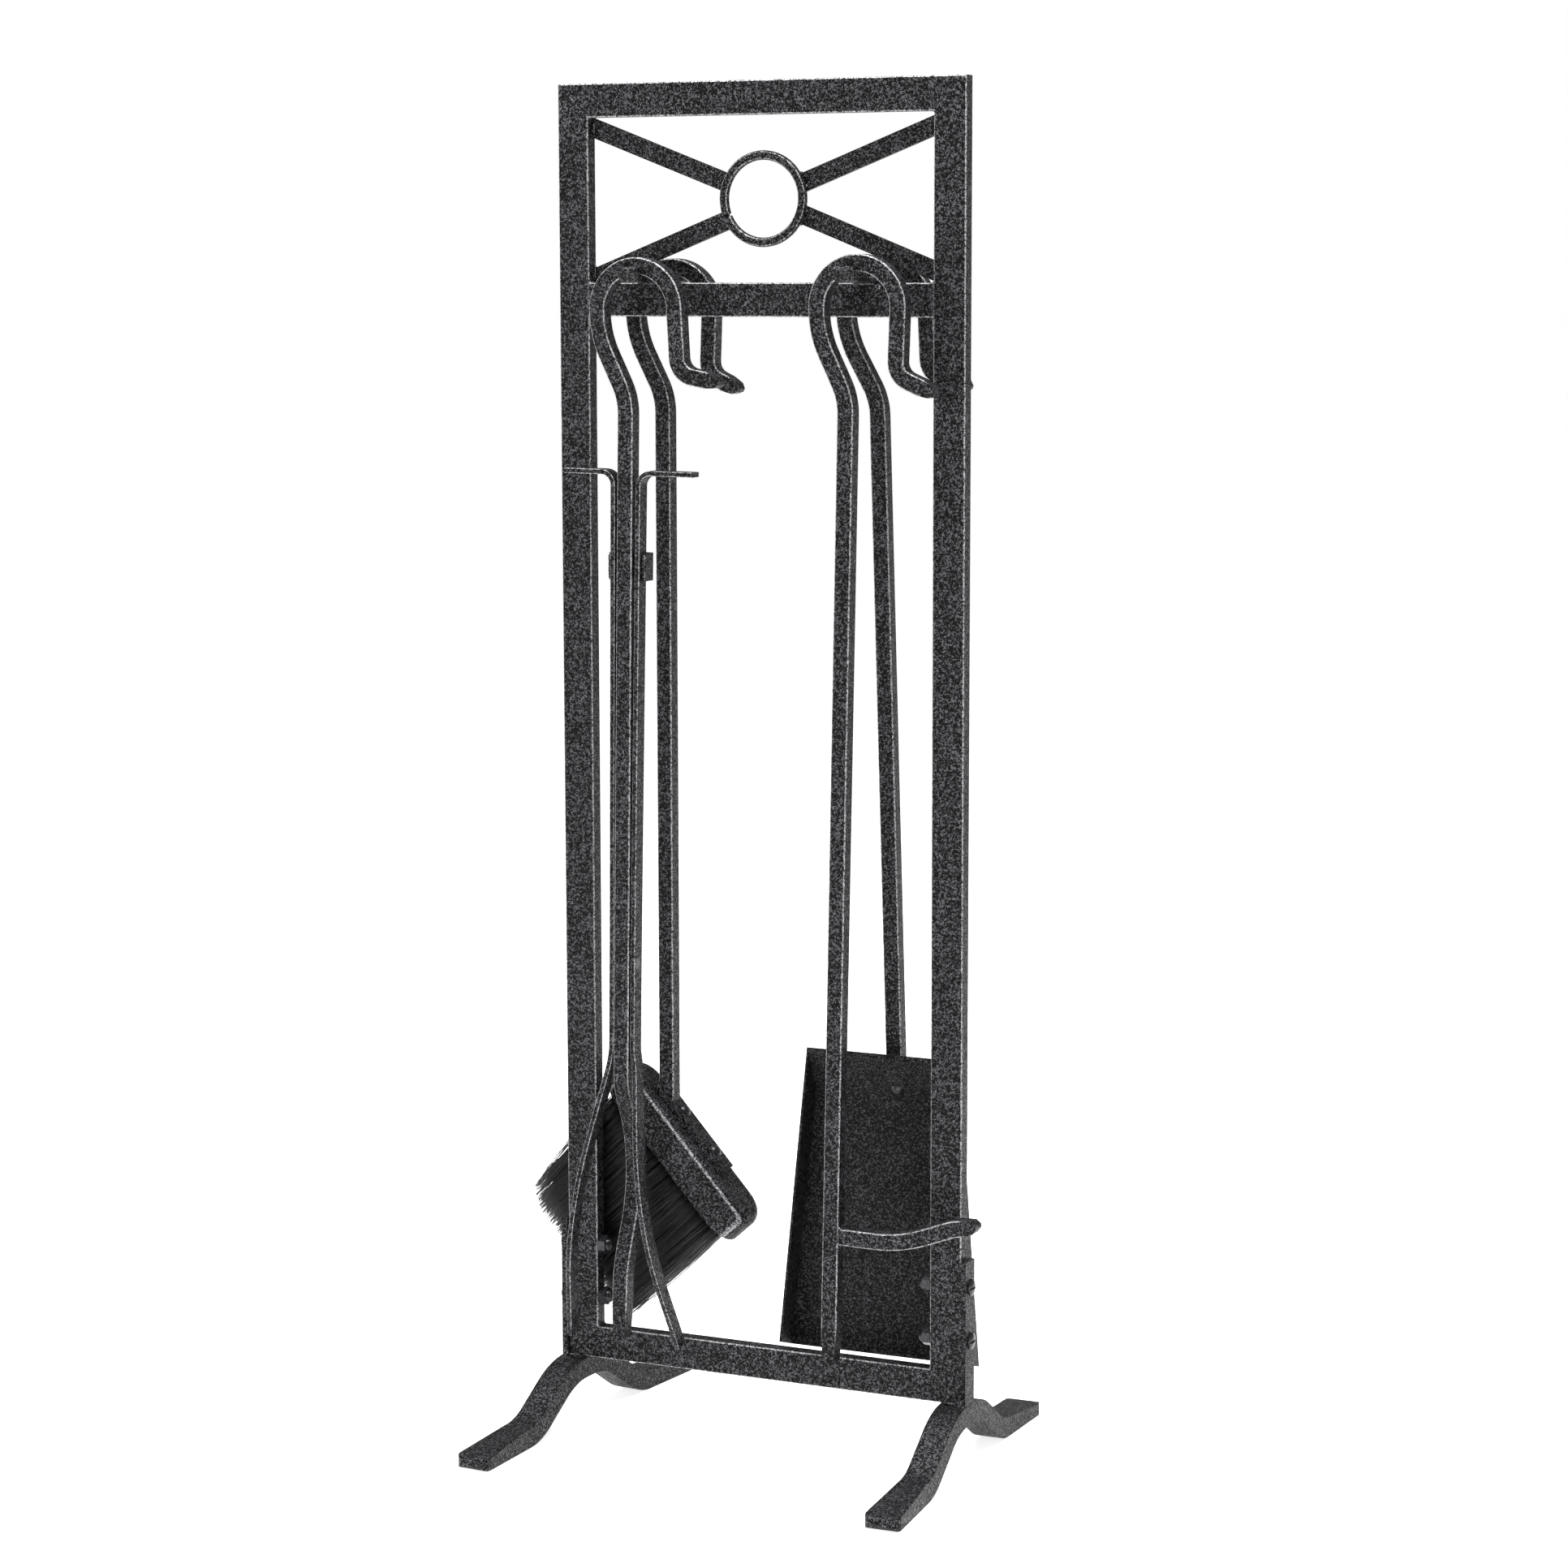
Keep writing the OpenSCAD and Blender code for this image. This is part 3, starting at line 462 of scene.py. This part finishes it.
def hanger_welds():
    """Beads along a hanger's four sides on the rail's top, and a run down the rail's front."""
    rail_low, rail_high = mm_box("mid_rail")
    front, back, top = rail_low.y, rail_high.y, rail_high.z
    for number, name in enumerate(("hanger_left", "hanger_right")):
        low, high = mm_box(name)
        beads = []
        for x in (low.x - 0.4, high.x + 0.4):
            beads.append(bead((x, front - 0.3, top - 0.2), (x, back + 0.3, top - 0.2), radius=2.1))
        run_start = (high.x + 0.8, front - 0.4, top - 0.4)
        run_end = (high.x + 1.6, front - 0.2, top - 4.5)
        beads.append(bead(run_start, run_end, radius=1.7))
        for y in (front - 0.4, back + 0.4):
            beads.append(bead((low.x + 1.5, y, top), (high.x - 1.5, y, top), radius=1.1))
        weld(f"{name}_weld", "stand", beads, HANGER_SEED + number)


DIAGONAL_SLOPE = 23.5


def emblem_welds():
    """Two small beads where each diagonal meets the ring, and one in the window's corner."""
    ring_low, ring_high = mm_box("centre_ring")
    cx, cz = (ring_low.x + ring_high.x) / 2, (ring_low.z + ring_high.z) / 2
    y = ring_high.y
    seam_r = (ring_high.x - ring_low.x) / 2 - 1.2
    diagonals = (
        ("diagonal_upper_left", -1, 1),
        ("diagonal_upper_right", 1, 1),
        ("diagonal_lower_left", -1, -1),
        ("diagonal_lower_right", 1, -1),
    )
    for number, (name, right, up) in enumerate(diagonals):
        low, high = mm_box(name)
        beads = []
        for spread in (-9, 9):
            a = math.radians(DIAGONAL_SLOPE + spread)
            x, z = cx + right * seam_r * math.cos(a), cz + up * seam_r * math.sin(a)
            start = (x - right * 1.2, y - 0.5, z)
            end = (x + right * 1.6, y - 0.3, z + up * 0.5)
            beads.append(bead(start, end, radius=1.0))
        outer_x = (low.x if right < 0 else high.x) - right * 0.3
        outer_z = high.z if up > 0 else low.z
        seam_y = low.y + 0.4
        start = (outer_x, seam_y, outer_z - up * 1.5)
        end = (outer_x, seam_y, outer_z - up * 11)
        beads.append(bead(start, end, radius=1.1))
        weld(f"{name}_weld", "stand", beads, EMBLEM_SEED + number)


def foot_welds():
    """Beads around the upright plate's foot, and between the stile and the foot bar's top."""
    for number, name in enumerate(("foot_left", "foot_right")):
        low, high = mm_box(name)
        plate_low, plate_high = mm_box(name.replace("foot", "foot_plate"))
        stile_low, stile_high = mm_box(name.replace("foot", "stile"))
        top = high.z
        outer = 1 if number else -1
        outer_x = plate_high.x if number else plate_low.x
        inner_x = plate_low.x if number else plate_high.x
        middle = (low.x + high.x) / 2
        beads = []
        for y in (plate_low.y, plate_high.y):
            run = (
                (inner_x + outer * 0.6, y * 1.02, top + 4.0),
                (inner_x + outer * 1.4, y * 1.12, top - 0.6),
                (inner_x + outer * 0.8, y * 1.45, top - 3.4),
            )
            beads.append(bead(*run, radius=1.7))
            seam_y, seam_z = y * 1.04, top - 0.1
            seam_end = (outer_x - outer * 0.6, seam_y, seam_z)
            beads.append(bead((inner_x, seam_y, seam_z), seam_end, radius=1.6))
        for y in (stile_low.y - 0.1, stile_high.y + 0.1):
            beads.append(bead((middle - 6.0, y, top + 0.2), (middle + 4.0, y, top + 0.2), radius=1.0))
        weld(f"{name}_weld", "stand", beads, FOOT_SEED + number)


HOOK_H = 10.0


def poker_welds():
    """Beads above, below and beside the end of the hook that is welded to the poker."""
    low, high = mm_box("poker_hook")
    x = low.x
    z = low.z + HOOK_H / 2
    beads = []
    for edge_z in (z - 5.2, z + 5.2):
        beads.append(bead((x + 0.4, low.y + 0.4, edge_z), (x + 0.4, high.y - 0.4, edge_z), radius=1.3))
    for y in (low.y, high.y):
        beads.append(bead((x + 0.2, y, z - 4.6), (x + 0.2, y, z + 4.6), radius=0.6))
    weld("poker_hook_weld", "poker", beads, POKER_SEED)


def bridge_welds():
    """A bead down each side of the strap that joins the fork's arms."""
    low, high = mm_box("tongs_bridge")
    y = low.y - 0.2
    beads = []
    for x in (low.x + 1.1, high.x - 1.1):
        beads.append(bead((x, y, low.z + 0.8), (x, y, high.z - 0.8), radius=1.25))
    weld("tongs_bridge_weld", "tongs_fork", beads, BRIDGE_SEED)


HEAD_SLOPE = math.radians(48.3)
CAP_H = 22.0
CAP_L = 126.0
CAP_W = 34.0
STRAP_T = 5.0
STRAP_START, STRAP_END, STRAP_HALF = -41, 26, 6.6
HEAD_CENTRE = (mm_box("brush_cap")[0] + mm_box("brush_cap")[1]) / 2
HEAD_ALONG = Vector((math.cos(HEAD_SLOPE), 0, -math.sin(HEAD_SLOPE)))
HEAD_NORMAL = Vector((math.sin(HEAD_SLOPE), 0, math.cos(HEAD_SLOPE)))


def head_place(x, y, z):
    """A point of the brush head's own frame as a point of the shared frame, both in mm.

    In the head's frame x runs down along it, y across it and z up from the cap's top.
    """
    return HEAD_CENTRE + HEAD_ALONG * x + Vector((0, y, 0)) + HEAD_NORMAL * (z + CAP_H / 2)


def brush_head_welds():
    """A bead around the bar's slanting end on the strap, and one along each side of the strap."""
    low, high = mm_box("brush_shaft")
    mid_y = (low.y + high.y) / 2
    axis_x = (low.x + high.x) / 2
    half = (high.x - low.x) / 2
    origin = head_place(0, 0, STRAP_T)
    slope = math.tan(HEAD_SLOPE)

    def top_at(x):
        return origin.z - (x - origin.x) * slope

    beads = []
    left, right, front, back = axis_x - half, axis_x + half, mid_y - half, mid_y + half
    loop = [(left, front), (right, front), (right, back), (left, back), (left, front)]
    for (ax, ay), (bx, by) in zip(loop, loop[1:]):
        beads.append(bead((ax, ay, top_at(ax) + 0.2), (bx, by, top_at(bx) + 0.2), radius=0.95))
    for y in (-STRAP_HALF, STRAP_HALF):
        beads.append(bead(head_place(STRAP_START, y, 0.1), head_place(STRAP_END, y, 0.1), radius=0.9))
    weld("brush_head_weld", "brush", beads, BRUSH_SEED)


def shovel_welds():
    """Beads beside and across the end of the bar on the pan's rear wall."""
    low, high = mm_box("shovel_shaft")
    rivet_low, rivet_high = mm_box("shovel_rivet")
    x = (rivet_low.x + rivet_high.x) / 2
    y = high.y
    z = low.z
    beads = []
    for side in (-1, 1):
        lower_end = (x + side * 5.2, y - 0.6, z + 2)
        upper_end = (x + side * 5.0, y - 10.0, z + 16.5)
        beads.append(bead(lower_end, upper_end, radius=1.2))
    beads.append(bead((x - 4.6, y - 0.3, z + 0.4), (x + 4.6, y - 0.3, z + 0.4), radius=1.2))
    weld("shovel_pan_weld", "shovel", beads, SHOVEL_SEED)


frame_welds()
hanger_welds()
emblem_welds()
foot_welds()
poker_welds()
bridge_welds()
brush_head_welds()
shovel_welds()

# ---------------------------------------------------------------- bristles


# The tufts' and strands' sizes are in mm, in the brush head's own frame.

ROWS = 7
COLUMNS = 21
ROW_HALF = 12.6
COLUMN_HALF = 52.5
COLUMN_SHIFT = 1.0
STRANDS_PER_TUFT = 26
TUFT_R = 2.3
CAP_MARGIN = 2.6
ROOT_Z = -20.0
TIP_Z = -111.0
CUT_UNEVEN = 0.07
TRIM_FROM = -38
TRIM_SLOPE = 0.6
BUNDLE_HALF = 16.2
STRAND_R = (0.24, 0.36)
TAPER = 0.45
STRAND_SIDES = 3
STRAND_RINGS = 6
FAN_UPPER = -0.17
FAN_LOWER = 0.01
FAN_ACROSS = 0.10
CURL = 1.4
LEAN_ALONG, LEAN_ACROSS = 1.3, 1.0
BOW_ALONG, BOW_ACROSS = 1.2, 0.9
STRAY_SHARE, STRAY_LEAN = 0.04, 5.0


def strand_path(rng, x, y, length):
    """One strand: it starts upright, fans out towards its tip and bows a little."""
    fan = FAN_LOWER if x > 0 else FAN_UPPER
    lean_x = fan * x + rng.gauss(0, LEAN_ALONG)
    lean_y = FAN_ACROSS * y + rng.gauss(0, LEAN_ACROSS)
    if rng.random() < STRAY_SHARE:
        lean_x += rng.gauss(0, STRAY_LEAN)
    bow_x, bow_y = rng.gauss(0, BOW_ALONG), rng.gauss(0, BOW_ACROSS)
    path = []
    for i in range(STRAND_RINGS):
        t = i / (STRAND_RINGS - 1)
        bow = math.sin(math.pi * t)
        px = x + lean_x * t**CURL + bow_x * bow
        py = y + lean_y * t**CURL + bow_y * bow
        py = max(-BUNDLE_HALF, min(BUNDLE_HALF, py))
        path.append(head_place(px, py, ROOT_Z - length * t) * MM)
    return path


def bristles():
    """Tufts of tapered strands in staggered rows, fanned a little and cut uneven."""
    rng = random.Random(STRAND_SEED)
    verts, faces, shades = [], [], []
    for row in range(ROWS):
        for column in range(COLUMNS):
            u = (column + 0.5 * (row % 2)) / (COLUMNS - 0.5) * 2 - 1
            v = row / (ROWS - 1) * 2 - 1
            x0, y0 = COLUMN_SHIFT + u * COLUMN_HALF, v * ROW_HALF
            end = max(0.0, abs(x0) - (CAP_L - CAP_W) / 2)
            room = math.sqrt(max(0.0, (CAP_W / 2 - CAP_MARGIN) ** 2 - end**2))
            if abs(y0) > room:
                y0 = math.copysign(room, y0)
            for _ in range(STRANDS_PER_TUFT):
                a, r = rng.uniform(0, 2 * math.pi), TUFT_R * math.sqrt(rng.random())
                x, y = x0 + r * math.cos(a), y0 + r * math.sin(a)
                length = (ROOT_Z - TIP_Z) * (1.0 - CUT_UNEVEN * rng.random() ** 2)
                length -= max(0.0, TRIM_FROM - x) * TRIM_SLOPE
                path = strand_path(rng, x, y, length)
                thick = rng.uniform(*STRAND_R) * MM
                radii = [thick * (1 - TAPER * i / (STRAND_RINGS - 1)) for i in range(STRAND_RINGS)]
                v_new, f_new = tube(path, radii, STRAND_SIDES)
                faces += [tuple(i + len(verts) for i in face) for face in f_new]
                verts += v_new
                shades += [rng.random()] * len(v_new)
    obj = mesh_piece("brush_strands", verts, faces, FIBRE, "brush")
    layer = obj.data.attributes.new("strand", "FLOAT", "POINT")
    layer.data.foreach_set("value", shades)
    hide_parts("brush_bristles")


bristles()
